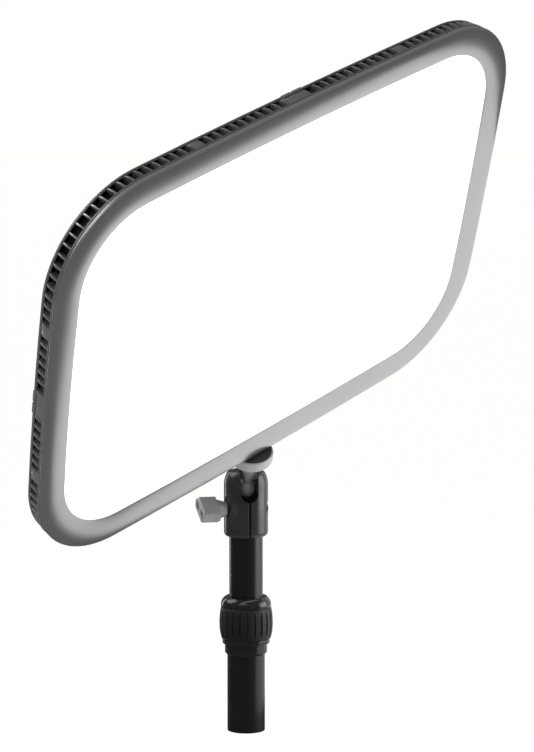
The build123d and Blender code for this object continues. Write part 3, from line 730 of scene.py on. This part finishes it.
# The outside of the head is shaded by the exact normals of its cylinder and its dome
wall_bottom = 120.4
slack = 0.01
near_enough = radians(25.0)
corner_normals = [corner.vector.copy() for corner in head.data.corner_normals]
for polygon in head.data.polygons:
    for corner in polygon.loop_indices:
        spot = head.data.vertices[head.data.loops[corner].vertex_index].co / MM
        reach = sqrt(spot.x**2 + spot.y**2)
        if spot.z < wall_bottom - slack or reach < housing_radius - dome_inset - slack:
            continue
        outward = max((reach - housing_radius + dome_inset) / dome_inset**2, 0.0)
        rise = max(spot.z - dome_top + dome_height, 0.0) / dome_height**2
        exact = Vector((spot.x / reach * outward, spot.y / reach * outward, rise)).normalized()
        if exact.length > 0.0 and polygon.normal.angle(exact) < near_enough:
            corner_normals[corner] = exact
head.data.normals_split_custom_set(corner_normals)
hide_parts("ball_housing")

# ---------------------------------------------------------------- floor, world and lights

floor_mesh = bpy.data.meshes.new("floor")
floor_reach = 30.0
floor_level = -0.35
floor_corners = [
    (floor_reach * across, floor_reach * forward, floor_level)
    for across, forward in ((-1, -1), (1, -1), (1, 1), (-1, 1))
]
floor_mesh.from_pydata(floor_corners, [], [(0, 1, 2, 3)])
floor = bpy.data.objects.new("floor", floor_mesh)
bpy.context.scene.collection.objects.link(floor)
floor_mesh.materials.append(
    surface("floor", grey(0.12), 0.95, mottle=0.01, grain=0.0, glow=0.97, edge=0.01)
)
floor.visible_glossy = False

world = bpy.data.worlds.new("studio")
bpy.context.scene.world = world
world.use_nodes = True
tree = world.node_tree
background = tree.nodes["Background"]
path = tree.nodes.new("ShaderNodeLightPath")
sky = tree.nodes.new("ShaderNodeTexCoord")
height = tree.nodes.new("ShaderNodeSeparateXYZ")
link(tree, sky, "Generated", height, "Vector")
ground_light = 0.07
sky_light = 0.2
fade = spread_node(tree, height.outputs["Z"], ground_light, sky_light, -0.2, 0.6)
shown = tree.nodes.new("ShaderNodeCombineXYZ")
for axis in "XYZ":
    link(tree, fade, "Result", shown, axis)
seen = colour_mix(tree, path.outputs["Is Camera Ray"], shown.outputs["Vector"], (1.0, 1.0, 1.0))
tree.links.new(seen, background.inputs["Color"])
background.inputs["Strength"].default_value = 1.0


def studio(right, forward, rise):
    """A vector given along the camera's right, its level forward direction and up."""
    return camera_right * right + camera_forward * forward + Vector((0.0, 0.0, rise))


def softbox(name, aim, direction, distance, width, tall, radiance, turn=None, lit=None):
    """A rectangular light at a distance from the point that it faces.

    turn sets its upright, and lit is the collection that it lights, if not everything."""
    away = direction.normalized()
    upright = (turn or Vector((0.0, 0.0, 1.0))).normalized()
    across = upright.cross(away).normalized()
    data = bpy.data.lights.new(name, "AREA")
    data.shape = "RECTANGLE"
    data.size = width
    data.size_y = tall
    data.energy = radiance * pi * width * tall
    lamp = bpy.data.objects.new(name, data)
    bpy.context.scene.collection.objects.link(lamp)
    placed = Matrix((across, away.cross(across), away)).transposed().to_4x4()
    placed.translation = aim + away * distance
    lamp.matrix_world = placed
    lamp.visible_camera = False
    lamp.light_linking.receiver_collection = lit


middle_rise = 0.08
middle = ball + Vector((0.0, 0.0, middle_rise))
stand_parts = bpy.data.collections.new("stand_parts")
for name, node in frame["nodes"].items():
    if node["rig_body"] != "panel":
        stand_parts.objects.link(node)
stand_parts.objects.link(grip)
stand_parts.objects.link(head)
softbox(
    "key_right", middle, studio(1.0, -0.03, 0.1),
    distance=1.7, width=1.25, tall=1.15, radiance=3.4, lit=stand_parts,
)
softbox(
    "edge_left", middle, studio(-0.72, 0.75, 0.1),
    distance=1.7, width=0.25, tall=1.3, radiance=3.0,
)
softbox(
    "fill_front", middle, studio(-0.35, -1.0, 0.7),
    distance=2.2, width=1.3, tall=1.0, radiance=1.1,
)
softbox(
    "top", middle, studio(-1.0, 0.2, 0.9),
    distance=1.8, width=1.2, tall=1.2, radiance=3.0,
)

# A bright card close to the panel, past its lower right, that its bezel mirrors
card_reach = 0.235
card_height = 0.37
card_forward = 0.075
card_along = -0.02
card_side = studio(-0.402, 0.911, 0.097).normalized()
card_away = studio(0.76, 0.41, -0.49).normalized()
card_aim = panel_origin + card_side * card_forward + card_away.cross(card_side) * card_along
softbox(
    "card", card_aim, card_away,
    distance=0.2, width=card_height, tall=card_reach, radiance=0.76, turn=card_side,
)

bpy.context.scene.view_settings.view_transform = "Standard"
